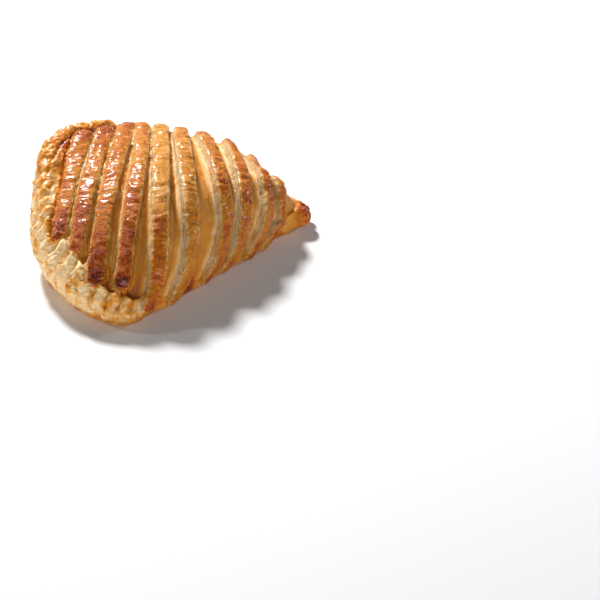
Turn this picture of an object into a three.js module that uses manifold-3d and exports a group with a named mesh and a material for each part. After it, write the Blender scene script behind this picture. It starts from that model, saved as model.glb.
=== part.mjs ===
// Turnover pastry: one piece of puff pastry, folded over and baked, as a solid.
//
// Millimetres, +Z up, flat base on z = 0. X runs along the folded side, from the blunt corner
// at -X to the pointed tip at +X. +Y points at the sealed edge, whose cut layers show as a
// fluted wall. The glazed skin on top is slashed into slanted bands, which part as the dough
// puffs, with grooves between them. The shape is worked out round the crown, the highest point
// of the puffed skin, and moved at the end so that the middle of the base is the origin.

import * as THREE from 'three';
import { mergeVertices } from 'three/addons/utils/BufferGeometryUtils.js';
import Module from 'manifold-3d';

// Driving dimensions of the outline, seen from above. Angles are degrees round the crown from
// +X, and each corner reaches that much further out over that spread of angles.
const FOLD_DISTANCE = 41.5;       // from the crown to the folded side
const FOLD_TURN = 2.75;           // the folded side comes closer to the crown towards the tip
const SEAL_REACH = 64;            // from the crown to the sealed edge
const SEAL_SWELL = 0.9;           // the sealed edge reaches this much further at its middle
const SEAL_MIDDLE = 105;
const CORNER_SHARPNESS = 14;      // higher makes the fold meet the sealed edge more sharply
const BLUNT_CORNER = { angle: 210, spread: 27, reach: 7.5 };
const TIP_CORNER = { angle: 333, spread: 11, reach: 14 };
const SHOULDER = { angle: 8, spread: 22, reach: 4.2 };
const FLAT_SIDE = { angle: 135, spread: 22, reach: -2.9 };

// The folded side lies between these two directions, and blends into the sealed edge over a
// spread that widens from the rim to the crown
const FOLD_SECTOR = { from: 223, to: 322, spreadAtRim: 10, spreadAtCrown: 45 };

// Heights of the body
const CROWN_HEIGHT = 46;
const CROWN_LEVEL = 26;           // the height that the skin's slope near the crown aims at
const FOLD_EDGE_HEIGHT = 13;      // where the skin turns down at the folded side
const SEAL_HEIGHT = { start: 11.9, slope: 0.397, curvature: -0.001 };
const SEAL_DROP = { angle: 40, height: 6.7 };
const BACK_RISE = { angle: 104, spread: 30, height: 5.7 };
const TIP_HEIGHT = 10;
const TIP_SLOPE = { angle: 333, spread: 13 };

// How full the puffed skin is towards the rim: 1 is a parabola's slope and 0.5 is an oval's
const FULLNESS = { seal: 0.95, tip: 0.62, fold: 0.5 };
const TIP_ROUND = { angle: 350, spread: 38 };
const SKIN_POWER = { seal: 2, fold: 2.3 };
const CROWN_OVAL = { halfLength: 58, halfWidth: 48 };   // plan of the skin close to the crown

// The sealed edge: a wall of cut layers that stands outside the rim of the skin
const RIM_INSET = 4;
const LEFT_BULGE = { angle: 168, spread: 40, reach: 5.5 };
const FLUTE = { pitch: 7.8, depth: 2, mean: 0.6, topDepth: 0.9 };
const BORDER_RISE = 1.5;          // the wall stands this much above the edge of the skin
const LOW_BORDER = { angle: 25, spread: 40, drop: 3 };   // but lies lower towards the tip
const WALL_SWELL = { share: 0.45, power: 0.8 };   // it is widest this share of the way down
const WALL_TUCK = { start: 0.6, depth: 4 };       // then its foot draws in towards the base
const WALL_INSET = 6;             // along the fold the wall's solid stays this far inside
const FOLD_TUCK = 5.5;            // the foot of the folded side draws in too
const SIDE_STRETCH = 1.15;        // length of the curved side against its height

// A roll of pressed dough along the back, wider and higher than the rest of the border: it
// starts and ends over these directions, and the bands stop short of it
const ROLL_START = { from: 60, to: 74 };
const ROLL_END = { from: 112, to: 140 };
const BACK_ROLL = { width: 4.5, height: 5, swellShare: 0.2 };

// The skin turns down to the folded side between these shares of the fold's distance
const FOLD_BEND = { start: 0.75, end: 1.25 };

// Bands of glazed skin, against the mean surface of the skin
const BAND_RISE = 1.6;            // how high the top of a band stands above it
const GROOVE_DROP = 2.6;          // how deep the floor of a groove lies below it
const KNUCKLE_RISE = 2.3;         // how much higher a band stands where it ends at the back
const KNUCKLE_LENGTH = 14;
const BAND_END_LENGTH = 4.5;      // a band's ends are rounded over this length
const BAND_END_WIDTH = 0.45;      // down to this share of its width
const BAND_RELAXING = 2;          // passes that smooth the line of a band over the turn of the skin
const BAND_ROOT = 2.5;            // how deep a band's solid sinks under the groove floor
const BAND_OVERHANG = 3.5;        // how far a band reaches down over the rim of the wall
const BAND_STOP = 1;              // how far inside the rim it ends at the roll
const BAND_FOOT = 1.5;            // height above the table where a band ends on the folded side

// Half of a band's section, as shares of its half width and of its height above the mean surface
const BAND_SECTION = { crown: 0.4, shoulder: 0.82, shoulderHeight: 0.6, root: 0.92 };
const FLANK_DROP = 0.35;          // a band is widest this share of the way down its groove

// Each band crosses the crown's level at `middle`, measured square to the bands, and bends
// towards `back` at the sealed edge and `front` at its other end, where some stop `short`
const BANDS = [
  { back: -38.5, middle: -42.0, front: -46.0, width: 9.5 },
  { back: -28.0, middle: -32.4, front: -37.0, width: 9.5, short: 5 },
  { back: -18.5, middle: -21.8, front: -27.5, width: 9.5, short: 1 },
  { back: -12.0, middle: -9.6, front: -15.0, width: 8.6, short: 4 },
  { back: -2.5, middle: 1.7, front: 3.5, width: 8.6 },
  { back: 7.5, middle: 14.2, front: 24.0, width: 8.4 },
  { back: 18.0, middle: 29.2, front: 41.0, width: 8.0 },
  { back: 31.0, middle: 40.5, front: 49.0, width: 7.6 },
  { back: 42.5, middle: 52.5, front: 61.5, width: 7.2 },
  { back: 52.5, middle: 60.5, front: 69.0, width: 6.4 },
];

// The nub of dough that is left at the pointed tip; most of its length is sunk in the body
const NUB = { angle: 332, distance: 67, direction: 310, length: 20, width: 13, height: 12.5 };

// The core that the wall and the bands are joined to
const CORE_INSET = 9;             // it stays this far inside the wall
const CORE_LOWERING = 0.87;       // share of the rim's height that it reaches there
const WALL_LID_HEIGHT = 20;       // the wall's solid is closed inside the core at this height

// Fineness of the faceted solid
const CUSHION_COLUMNS = 84;
const CUSHION_RINGS = 9;
const WALL_COLUMNS = 192;
const WALL_LEVELS = 6;
const WALL_LEVEL_POWER = 1.6;     // above 1, the levels lie closer together towards the rim
const FOLD_LEVELS = 5;
const BAND_STEPS = 24;

const BAND_TURN = -Math.PI / 4;   // the bands lie at this angle to the fold
const DEGREE = Math.PI / 180;

function smooth(from, to, value) {
  const share = Math.min(1, Math.max(0, (value - from) / (to - from)));
  return share * share * (3 - 2 * share);
}

function mix(a, b, share) {
  return a + (b - a) * share;
}

// A soft bump of height 1 round one direction of the outline
function bump(angle, corner) {
  const turn = angle - corner.angle * DEGREE;
  const away = Math.atan2(Math.sin(turn), Math.cos(turn));
  return Math.exp(-((away / (corner.spread * DEGREE)) ** 2));
}

// 1 along the folded side and 0 along the sealed edge; the change widens towards the crown
function foldShare(angle, share = 1) {
  const turn = ((angle / DEGREE) % 360 + 360) % 360;
  const { from, to, spreadAtRim, spreadAtCrown } = FOLD_SECTOR;
  const spread = mix(spreadAtCrown, spreadAtRim, share);
  const rising = smooth(from - spread, from + spread, turn);
  const falling = smooth(to - spread, to + spread, turn);
  return rising * (1 - falling);
}

// Distance from the crown to the widest point of the pastry
function reach(angle) {
  const sealed = [BLUNT_CORNER, TIP_CORNER, SHOULDER, FLAT_SIDE].reduce(
    (sum, corner) => sum + corner.reach * bump(angle, corner),
    SEAL_REACH + SEAL_SWELL * Math.cos(angle - SEAL_MIDDLE * DEGREE),
  );
  const towardsFold = Math.max(1e-3, -Math.sin(angle - FOLD_TURN * DEGREE));
  const folded = FOLD_DISTANCE / towardsFold;
  const n = CORNER_SHARPNESS;
  return (sealed ** -n + folded ** -n) ** (-1 / n);
}

// 1 along the roll at the back, and 0 elsewhere
function rollShare(angle) {
  const turn = ((angle / DEGREE) % 360 + 360) % 360;
  const ending = smooth(ROLL_END.from, ROLL_END.to, turn);
  return smooth(ROLL_START.from, ROLL_START.to, turn) * (1 - ending);
}

// Distance from the crown to the rim, where the skin ends and the wall starts
function rimRadius(angle) {
  const inset = RIM_INSET * (1 - foldShare(angle)) + LEFT_BULGE.reach * bump(angle, LEFT_BULGE);
  return reach(angle) - inset - BACK_ROLL.width * rollShare(angle);
}

function rimHeight(angle) {
  const fromFold = reach(angle) * Math.sin(angle) + FOLD_DISTANCE;
  const sealed = SEAL_HEIGHT.start + SEAL_HEIGHT.slope * fromFold
    + SEAL_HEIGHT.curvature * fromFold ** 2
    - SEAL_DROP.height * (1 + Math.cos(angle - SEAL_DROP.angle * DEGREE)) / 2
    + BACK_RISE.height * bump(angle, BACK_RISE);
  const side = mix(sealed, FOLD_EDGE_HEIGHT, foldShare(angle));
  return mix(side, TIP_HEIGHT, bump(angle, TIP_SLOPE));
}

// The mean surface of the skin: share is 0 at the crown and 1 at the rim
function skinPoint(share, angle) {
  const rim = rimRadius(angle);
  const distance = share * rim;
  const { halfLength, halfWidth } = CROWN_OVAL;
  const oval = 1 / Math.hypot(Math.cos(angle) / halfLength, Math.sin(angle) / halfWidth);
  const outwards = Math.min(1, distance / mix(oval, rim, smooth(0, 1, share)));
  const fold = foldShare(angle, share);
  const edge = mix(CROWN_LEVEL, rimHeight(angle), smooth(0, 1, share));
  const sealFullness = mix(FULLNESS.seal, FULLNESS.tip, bump(angle, TIP_ROUND));
  const fullness = mix(sealFullness, FULLNESS.fold, fold);
  const bulge = (1 - outwards ** mix(SKIN_POWER.seal, SKIN_POWER.fold, fold)) ** fullness;
  const height = mix(edge, CROWN_HEIGHT, bulge);
  return new THREE.Vector3(distance * Math.cos(angle), distance * Math.sin(angle), height);
}

// The side below the rim: share is 0 at the rim and 1 at the base
function sidePoint(share, angle) {
  const rim = rimRadius(angle);
  const fold = foldShare(angle);
  const swellShare = mix(WALL_SWELL.share, BACK_ROLL.swellShare, rollShare(angle));
  const swell = Math.sin(Math.min(1, share / swellShare) * Math.PI / 2) ** WALL_SWELL.power;
  const wallTuck = WALL_TUCK.depth * smooth(WALL_TUCK.start, 1, share);
  const foldTuck = FOLD_TUCK * (1 - Math.sqrt(1 - share ** 2));
  const tuck = mix(wallTuck, foldTuck, fold);
  const distance = rim + (reach(angle) - rim) * swell - tuck;
  const height = rimHeight(angle) * (1 - share);
  return new THREE.Vector3(distance * Math.cos(angle), distance * Math.sin(angle), height);
}

// Length of the sheet that runs down the side
function sideLength(angle) {
  return SIDE_STRETCH * rimHeight(angle);
}

// The skin as a flat sheet laid round the crown. Towards the fold it turns down little by
// little, so it reaches further than the plan; beyond the rim it goes on down the side.
function sheetPoint(x, y) {
  const foldAngle = (FOLD_TURN - 90) * DEGREE;
  const towardsFold = new THREE.Vector2(Math.cos(foldAngle), Math.sin(foldAngle));
  const flat = new THREE.Vector2(x, y);
  const out = flat.dot(towardsFold);
  const bendStart = FOLD_BEND.start * FOLD_DISTANCE;
  const bendEnd = FOLD_BEND.end * FOLD_DISTANCE;
  const bent = Math.min(bendEnd, Math.max(bendStart, out)) - bendStart;
  const pastBend = Math.max(0, out - bendEnd);
  flat.addScaledVector(towardsFold, -(bent ** 2) / (2 * (bendEnd - bendStart)) - pastBend);
  const angle = flat.angle();
  const distance = flat.length();
  const rim = rimRadius(angle);
  if (distance <= rim) return skinPoint(distance / rim, angle);
  const down = (distance - rim + pastBend) / sideLength(angle);
  return sidePoint(Math.min(1, down), angle);
}

function sheetNormal(x, y) {
  const step = 0.4;
  const alongX = sheetPoint(x + step, y).sub(sheetPoint(x - step, y));
  const alongY = sheetPoint(x, y + step).sub(sheetPoint(x, y - step));
  return alongX.cross(alongY).normalize();
}

// Negative when the faces point inwards
function enclosedVolume(positions, index) {
  const corner = (i) => new THREE.Vector3().fromArray(positions, index[i] * 3);
  let volume = 0;
  for (let i = 0; i < index.length; i += 3) {
    volume += corner(i).dot(corner(i + 1).cross(corner(i + 2))) / 6;
  }
  return volume;
}

function middleOf(ring) {
  return ring.reduce((sum, point) => sum.add(point), new THREE.Vector3()).divideScalar(ring.length);
}

// A closed solid through rings of points, each end closed by a fan to its own middle point
function loft(rings, firstMiddle, lastMiddle) {
  const size = rings[0].length;
  const points = rings.flat().concat([firstMiddle, lastMiddle]);
  const positions = new Float32Array(points.flatMap((p) => [p.x, p.y, p.z]));
  const index = [];
  for (let ring = 0; ring < rings.length - 1; ring += 1) {
    for (let i = 0; i < size; i += 1) {
      const a = ring * size + i;
      const b = ring * size + (i + 1) % size;
      index.push(a, b, b + size, a, b + size, a + size);
    }
  }
  const lastRing = (rings.length - 1) * size;
  for (let i = 0; i < size; i += 1) {
    const next = (i + 1) % size;
    index.push(points.length - 2, next, i);
    index.push(points.length - 1, lastRing + i, lastRing + next);
  }
  if (enclosedVolume(positions, index) < 0) index.reverse();
  const geometry = new THREE.BufferGeometry();
  geometry.setAttribute('position', new THREE.BufferAttribute(positions, 3));
  geometry.setIndex(index);
  return geometry;
}

// One point for each of so many directions round the crown
function ringOf(columns, pointAt) {
  return Array.from({ length: columns }, (_, i) => pointAt(i / columns * 2 * Math.PI));
}

// The puffed body under the bands: its surface is the floor of the grooves
function cushionGeometry() {
  const rings = [];
  for (let i = 1; i <= CUSHION_RINGS; i += 1) {
    const share = i / CUSHION_RINGS;
    rings.push(ringOf(CUSHION_COLUMNS, (angle) => {
      const point = skinPoint(share, angle);
      point.z -= GROOVE_DROP;
      const drawIn = 1 - GROOVE_DROP * foldShare(angle) * smooth(0.8, 1, share) / rimRadius(angle);
      return new THREE.Vector3(point.x * drawIn, point.y * drawIn, point.z);
    }));
  }
  for (let i = 1; i <= FOLD_LEVELS; i += 1) {
    const share = i / FOLD_LEVELS;
    rings.push(ringOf(CUSHION_COLUMNS, (angle) => {
      const point = sidePoint(share, angle);
      const inset = mix(CORE_INSET, GROOVE_DROP * (1 - share ** 4), foldShare(angle));
      const drawIn = 1 - inset / reach(angle);
      return new THREE.Vector3(point.x * drawIn, point.y * drawIn, point.z * CORE_LOWERING);
    }));
  }
  const crown = new THREE.Vector3(0, 0, CROWN_HEIGHT - GROOVE_DROP);
  return loft(rings, crown, new THREE.Vector3(0, 0, 0));
}

// Length along the outline from +X, so that the flutes keep their pitch
function outlineLengths(columns) {
  const lengths = [0];
  for (let i = 1; i <= columns; i += 1) {
    const a = (i - 1) / columns * 2 * Math.PI;
    const b = i / columns * 2 * Math.PI;
    const dx = reach(b) * Math.cos(b) - reach(a) * Math.cos(a);
    const dy = reach(b) * Math.sin(b) - reach(a) * Math.sin(a);
    lengths.push(lengths[i - 1] + Math.hypot(dx, dy));
  }
  return lengths;
}

// The wall of cut layers round the sealed edge, pressed into upright flutes
function wallGeometry() {
  const lengths = outlineLengths(WALL_COLUMNS);
  const flute = (angle) => {
    const column = Math.round(angle / (2 * Math.PI) * WALL_COLUMNS);
    return Math.abs(Math.sin(lengths[column] / FLUTE.pitch * Math.PI)) - FLUTE.mean;
  };
  const rings = [];
  for (let i = 0; i <= WALL_LEVELS; i += 1) {
    const share = (i / WALL_LEVELS) ** WALL_LEVEL_POWER;
    rings.push(ringOf(WALL_COLUMNS, (angle) => {
      const sealed = 1 - foldShare(angle);
      const point = sidePoint(share, angle);
      const fluteDepth = FLUTE.depth * (1 + Math.sin(Math.PI * share)) / 2;
      const outwards = sealed * fluteDepth * flute(angle) - (1 - sealed) * WALL_INSET;
      const scale = 1 + outwards / reach(angle);
      const border = BORDER_RISE - LOW_BORDER.drop * bump(angle, LOW_BORDER);
      const rise = i === 0 ? sealed * (border + FLUTE.topDepth * flute(angle)) : 0;
      const overRoll = Math.sin(Math.PI * Math.min(1, share / BACK_ROLL.swellShare));
      const roll = BACK_ROLL.height * rollShare(angle) * overRoll;
      return new THREE.Vector3(point.x * scale, point.y * scale, point.z + rise + roll);
    }));
  }
  return loft(rings, new THREE.Vector3(0, 0, WALL_LID_HEIGHT), new THREE.Vector3(0, 0, 0));
}

// A place on the flat sheet, by its distances across and along the bands from the crown
function onSheet(across, along) {
  return new THREE.Vector2(across, along).rotateAround(new THREE.Vector2(), BAND_TURN);
}

// How far a band runs from the crown's level until it is past its end
function lengthToEnd(across, direction, isPastEnd) {
  const step = 0.25;
  const longest = 100;
  let along = 0;
  while (along < longest) {
    const flat = onSheet(across, direction * along);
    const point = sheetPoint(flat.x, flat.y);
    if (isPastEnd(point, Math.atan2(point.y, point.x))) break;
    along += step;
  }
  return along;
}

// Each point moves towards the middle of its neighbours, and the two ends stay
function relax(vectors) {
  return vectors.map((vector, i) => {
    if (i === 0 || i === vectors.length - 1) return vector.clone();
    return vectors[i - 1].clone().add(vectors[i + 1]).addScaledVector(vector, 2).divideScalar(4);
  });
}

// A band's back end is in front of the roll, or else a little way down the wall
function isPastBack(point, angle) {
  const atRoll = rollShare(angle) > 0.5;
  if (atRoll) return Math.hypot(point.x, point.y) > rimRadius(angle) - BAND_STOP;
  return point.z < rimHeight(angle) - BAND_OVERHANG;
}

// Its front end is at the foot of the folded side, or at the top of the wall
function isPastFront(point, angle) {
  return point.z < mix(rimHeight(angle) - 1, BAND_FOOT, foldShare(angle));
}

// The middle line of a band on the skin, from the sealed edge over the top to its other end.
// The bend is the parabola through the band's back, middle and front.
function bandLine(band) {
  const start = lengthToEnd(band.back, 1, isPastBack);
  const end = lengthToEnd(band.front, -1, isPastFront) - (band.short ?? 0);
  let centres = [];
  let normals = [];
  for (let i = 0; i <= BAND_STEPS; i += 1) {
    const share = i / BAND_STEPS;
    const across = band.back * (1 - share) * (1 - 2 * share) + band.middle * 4 * share * (1 - share)
      + band.front * share * (2 * share - 1);
    const flat = onSheet(across, mix(start, -end, share));
    centres.push(sheetPoint(flat.x, flat.y));
    normals.push(sheetNormal(flat.x, flat.y));
  }
  for (let pass = 0; pass < BAND_RELAXING; pass += 1) {
    centres = relax(centres);
    normals = relax(normals);
  }
  return centres.map((centre, i) => {
    const before = centres[Math.max(0, i - 1)];
    const after = centres[Math.min(BAND_STEPS, i + 1)];
    const forward = after.clone().sub(before).normalize();
    const side = forward.clone().cross(normals[i]).normalize();
    return { centre, side, normal: side.clone().cross(forward) };
  });
}

// A band: a strip of skin with rounded shoulders and ends, whose root is sunk in the body
function bandGeometry(band) {
  const line = bandLine(band);
  const lengths = [0];
  for (let i = 1; i <= BAND_STEPS; i += 1) {
    lengths.push(lengths[i - 1] + line[i].centre.distanceTo(line[i - 1].centre));
  }
  const rings = line.map(({ centre, side, normal }, i) => {
    const fromEnd = Math.min(lengths[i], lengths[BAND_STEPS] - lengths[i]);
    const round = Math.sqrt(1 - (1 - Math.min(1, fromEnd / BAND_END_LENGTH)) ** 2);
    const halfWidth = band.width / 2 * mix(BAND_END_WIDTH, 1, round);
    const knuckle = 1 - smooth(0, KNUCKLE_LENGTH, lengths[i]);
    const top = (BAND_RISE + KNUCKLE_RISE * knuckle) * round;
    const half = [
      [BAND_SECTION.crown, top],
      [BAND_SECTION.shoulder, BAND_SECTION.shoulderHeight * top],
      [1, -FLANK_DROP * GROOVE_DROP],
      [BAND_SECTION.root, -GROOVE_DROP - BAND_ROOT],
    ];
    const otherHalf = half.map(([across, up]) => [-across, up]).reverse();
    return [...otherHalf, ...half].map(([across, up]) => centre.clone()
      .addScaledVector(side, across * halfWidth)
      .addScaledVector(normal, up));
  });
  return loft(rings, middleOf(rings[0]), middleOf(rings[BAND_STEPS]));
}

// The nub: a rounded lump of dough that points out of the tip, close to the base
function nubGeometry() {
  const angle = NUB.angle * DEGREE;
  const geometry = new THREE.SphereGeometry(0.5, 16, 10);
  geometry.scale(NUB.length, NUB.width, NUB.height);
  geometry.rotateZ(NUB.direction * DEGREE);
  geometry.translate(NUB.distance * Math.cos(angle), NUB.distance * Math.sin(angle), NUB.height / 2);
  return geometry;
}

const wasm = await Module();
wasm.setup();

// A closed mesh, with its shared vertices merged, as a solid
function toSolid(geometry) {
  const mergeDistance = 1e-4;
  const bare = geometry.clone();
  bare.deleteAttribute('normal');
  bare.deleteAttribute('uv');
  const merged = mergeVertices(bare, mergeDistance);
  const vertProperties = new Float32Array(merged.attributes.position.array);
  const triVerts = new Uint32Array(merged.index.array);
  return new wasm.Manifold(new wasm.Mesh({ numProp: 3, vertProperties, triVerts }));
}

function toGeometry(solid) {
  const mesh = solid.getMesh();
  const geometry = new THREE.BufferGeometry();
  geometry.setAttribute('position', new THREE.BufferAttribute(new Float32Array(mesh.vertProperties), 3));
  geometry.setIndex(new THREE.BufferAttribute(new Uint32Array(mesh.triVerts), 1));
  return geometry;
}

// Everything above the table, so that the base is one flat face
function aboveTable() {
  const size = 200;
  return toSolid(new THREE.BoxGeometry(size, size, size).translate(0, 0, size / 2));
}

const joined = [wallGeometry(), nubGeometry(), ...BANDS.map(bandGeometry)]
  .map(toSolid)
  .reduce((whole, solid) => whole.add(solid), toSolid(cushionGeometry()))
  .intersect(aboveTable());

const pastryGeometry = toGeometry(joined);
pastryGeometry.computeBoundingBox();
const box = pastryGeometry.boundingBox;
pastryGeometry.translate(-(box.min.x + box.max.x) / 2, -(box.min.y + box.max.y) / 2, -box.min.z);

const crust = new THREE.MeshStandardMaterial({ color: 0xc98a3d, roughness: 0.45, metalness: 0 });
const pastry = new THREE.Mesh(pastryGeometry, crust);
pastry.name = 'turnover';

const object = new THREE.Group();
object.add(pastry);

export default object;
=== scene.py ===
import math

import bpy
import numpy as np
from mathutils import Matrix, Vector


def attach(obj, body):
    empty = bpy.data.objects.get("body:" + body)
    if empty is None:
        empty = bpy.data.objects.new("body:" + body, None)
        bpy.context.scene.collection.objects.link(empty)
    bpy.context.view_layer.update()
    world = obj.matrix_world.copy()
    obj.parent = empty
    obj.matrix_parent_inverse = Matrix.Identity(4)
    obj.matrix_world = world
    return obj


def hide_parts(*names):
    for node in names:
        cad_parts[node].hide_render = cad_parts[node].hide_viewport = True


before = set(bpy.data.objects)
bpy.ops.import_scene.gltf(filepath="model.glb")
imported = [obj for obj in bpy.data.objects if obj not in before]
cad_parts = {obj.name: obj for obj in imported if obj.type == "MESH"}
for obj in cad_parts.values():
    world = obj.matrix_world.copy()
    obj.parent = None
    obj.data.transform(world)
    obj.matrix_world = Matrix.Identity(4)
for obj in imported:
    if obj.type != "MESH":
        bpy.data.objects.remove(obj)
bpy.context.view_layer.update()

# Shapes are worked out in millimetres round the crown, the highest point of the skin, and
# moved to the part's own frame when a mesh is made. Angles run in degrees from +X.
MM = 0.001
DEGREE = math.pi / 180
CROWN_PLACE = (-1.265, -10.67, 0.0)
RANDOM_SEED = 11

# Outline seen from above: the corners are (angle, spread, extra reach)
FOLD_DISTANCE = 41.5
FOLD_TURN = 2.75
SEAL_REACH = 64.0
SEAL_SWELL = 0.9
SEAL_MIDDLE = 105.0
CORNER_SHARPNESS = 14.0
CORNERS = {
    "blunt": (210, 27, 7.5),
    "tip": (333, 11, 14.0),
    "shoulder": (8, 22, 4.2),
    "flat side": (135, 22, -2.9),
}
FOLD_FROM, FOLD_TO = 223.0, 322.0
FOLD_SPREAD_RIM, FOLD_SPREAD_CROWN = 10.0, 45.0

# Heights of the body: a rise or a drop is (angle, spread, height)
CROWN_HEIGHT = 46.0
CROWN_LEVEL = 26.0
FOLD_EDGE_HEIGHT = 13.0
SEAL_START, SEAL_SLOPE, SEAL_CURVATURE = 11.9, 0.397, -0.001
SEAL_DROP_ANGLE, SEAL_DROP = 40.0, 6.7
BACK_RISE = (104, 30, 5.7)
TIP_HEIGHT = 10.0
TIP_SLOPE = (333, 13)
TIP_ROUND = (350, 38)
FULLNESS_SEAL, FULLNESS_TIP, FULLNESS_FOLD = 0.95, 0.62, 0.5
POWER_SEAL, POWER_FOLD = 2.0, 2.3
OVAL_LENGTH, OVAL_WIDTH = 58.0, 48.0
BODY_POINTS, BODY_RINGS, BODY_SIDE_RINGS = 240, 40, 10
BODY_INSET = 9.0
BODY_SIDE_DROP = 0.87

# The wall of cut layers along the sealed edge, its border and roll, and the foot of the fold.
# The wander of the flutes is (size in mm, waves round the pastry, where they start)
RIM_INSET = 4.0
LEFT_BULGE = (168, 40, 5.5)
BORDER_RISE = 1.5
LOW_BORDER = (25, 40, 3.0)
ROLL_START, ROLL_END = (60.0, 74.0), (112.0, 140.0)
ROLL_WIDTH = 4.5
ROLL_HEIGHT = 5.0
ROLL_SWELL_SHARE = 0.2
FLUTE_PITCH = 7.8
FLUTE_DEPTH = 3.0
FLUTE_MEAN = 0.6
FLUTE_POWER = 0.7
FLUTE_LEAN = 0.05
FLUTE_RISE = 0.9
FLUTE_WANDER = [(1.6, 3, 1), (1.1, 7, 0), (0.7, 13, 2)]
OUTLINE_POINTS = 4000
SWELL_SHARE, SWELL_POWER = 0.45, 0.8
WALL_TUCK_START, WALL_TUCK = 0.6, 4.0
FOLD_TUCK = 5.5
SIDE_STRETCH = 1.15
BEND_START, BEND_END = 0.75, 1.25
WALL_POINTS, WALL_RINGS, WALL_RING_POWER = 800, 40, 1.6
WALL_INSET_AT_FOLD = 6.0
BORDER_SHARE = 0.12

# Bands of glazed skin: where each crosses the level of its back end, middle and front end,
# measured square to the bands, its width, and how far its front end stops short
BAND_RISE = 1.6
GROOVE_DROP = 2.6
KNUCKLE_RISE = 2.3
KNUCKLE_LENGTH = 14.0
BAND_END_LENGTH = 6.0
BAND_END_WIDTH = 0.35
BAND_ROOT = 2.5
BAND_OVERHANG = 3.5
BAND_STOP = 1.0
BAND_FOOT = 1.5
BAND_ARCH_POINTS, BAND_ARCH_POWER = 15, 0.55
BAND_SIDES = (0.90, 0.97)
BAND_FLANK_SHARE = 0.45
BAND_STEPS = 24
BAND_RELAXING = 2
BAND_FINENESS = 6
BAND_TURN = -math.pi / 4
LONGEST_BAND, END_STEP = 100.0, 0.25
NORMAL_STEP = 0.4
SWAYS = [(0.08, 11.0), (0.07, 4.0)]
LIFT, LIFT_SIZE = 0.3, 9.0
BANDS = [
    (-38.5, -42.0, -46.0, 9.5, 0.0),
    (-28.0, -32.4, -37.0, 9.5, 5.0),
    (-18.5, -21.8, -27.5, 9.5, 1.0),
    (-12.0, -9.6, -15.0, 8.6, 4.0),
    (-2.5, 1.7, 3.5, 8.6, 0.0),
    (7.5, 14.2, 24.0, 8.4, 0.0),
    (18.0, 29.2, 41.0, 8.0, 0.0),
    (31.0, 40.5, 49.0, 7.6, 0.0),
    (42.5, 52.5, 61.5, 7.2, 0.0),
    (52.5, 60.5, 69.0, 6.4, 0.0),
]

# The nub at the pointed tip
NUB_ANGLE, NUB_DISTANCE, NUB_DIRECTION = 332.0, 67.0, 310.0
NUB_LENGTH, NUB_WIDTH, NUB_HEIGHT = 20.0, 13.0, 12.5
NUB_POINTS, NUB_RINGS = 40, 24

# One skin over all of it: what lies below the underside level has its faces thinned, and
# what the relief leaves below the base level is pressed flat
VOXEL = 0.66
SOFTENING = 0.5
KEPT_FACES = 0.81
UNDERSIDE_LEVEL = 0.05
BASE_LEVEL = 0.3
POINTS_AT_ONCE = 20000


def smooth(low, high, value):
    """A soft step: 0 up to low and 1 from high on"""
    share = np.clip((value - low) / (high - low), 0, 1)
    return share * share * (3 - 2 * share)


def mix(a, b, share):
    return a + (b - a) * share


def bump(angle, corner):
    """1 at the corner's angle, falling to 0 over its spread"""
    turn = angle - corner[0] * DEGREE
    away = np.arctan2(np.sin(turn), np.cos(turn))
    return np.exp(-(away / (corner[1] * DEGREE)) ** 2)


def fold_share(angle, share=1.0):
    """1 along the folded side, 0 along the sealed edge"""
    turn = np.degrees(angle) % 360
    spread = mix(FOLD_SPREAD_CROWN, FOLD_SPREAD_RIM, share)
    rising = smooth(FOLD_FROM - spread, FOLD_FROM + spread, turn)
    falling = smooth(FOLD_TO - spread, FOLD_TO + spread, turn)
    return rising * (1 - falling)


def reach(angle):
    """Distance from the crown to the widest point"""
    sealed = SEAL_REACH + SEAL_SWELL * np.cos(angle - SEAL_MIDDLE * DEGREE)
    for corner in CORNERS.values():
        sealed = sealed + corner[2] * bump(angle, corner)
    folded = FOLD_DISTANCE / np.maximum(1e-3, -np.sin(angle - FOLD_TURN * DEGREE))
    n = CORNER_SHARPNESS
    return (sealed ** -n + folded ** -n) ** (-1 / n)


def roll_share(angle):
    """1 along the roll of pressed dough at the back"""
    turn = np.degrees(angle) % 360
    return smooth(*ROLL_START, turn) * (1 - smooth(*ROLL_END, turn))


def rim_radius(angle):
    """Distance from the crown to the upper edge of the side"""
    inset = RIM_INSET * (1 - fold_share(angle)) + LEFT_BULGE[2] * bump(angle, LEFT_BULGE)
    return reach(angle) - inset - ROLL_WIDTH * roll_share(angle)


def rim_height(angle):
    """Height of the upper edge of the side"""
    from_fold = reach(angle) * np.sin(angle) + FOLD_DISTANCE
    sealed = SEAL_START + SEAL_SLOPE * from_fold + SEAL_CURVATURE * from_fold ** 2
    sealed = sealed - SEAL_DROP * (1 + np.cos(angle - SEAL_DROP_ANGLE * DEGREE)) / 2
    sealed = sealed + BACK_RISE[2] * bump(angle, BACK_RISE)
    side = mix(sealed, FOLD_EDGE_HEIGHT, fold_share(angle))
    return mix(side, TIP_HEIGHT, bump(angle, TIP_SLOPE))


def polar(distance, angle, height):
    """Points at these distances, angles and heights round the crown"""
    return np.stack([distance * np.cos(angle), distance * np.sin(angle), height], -1)


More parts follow.
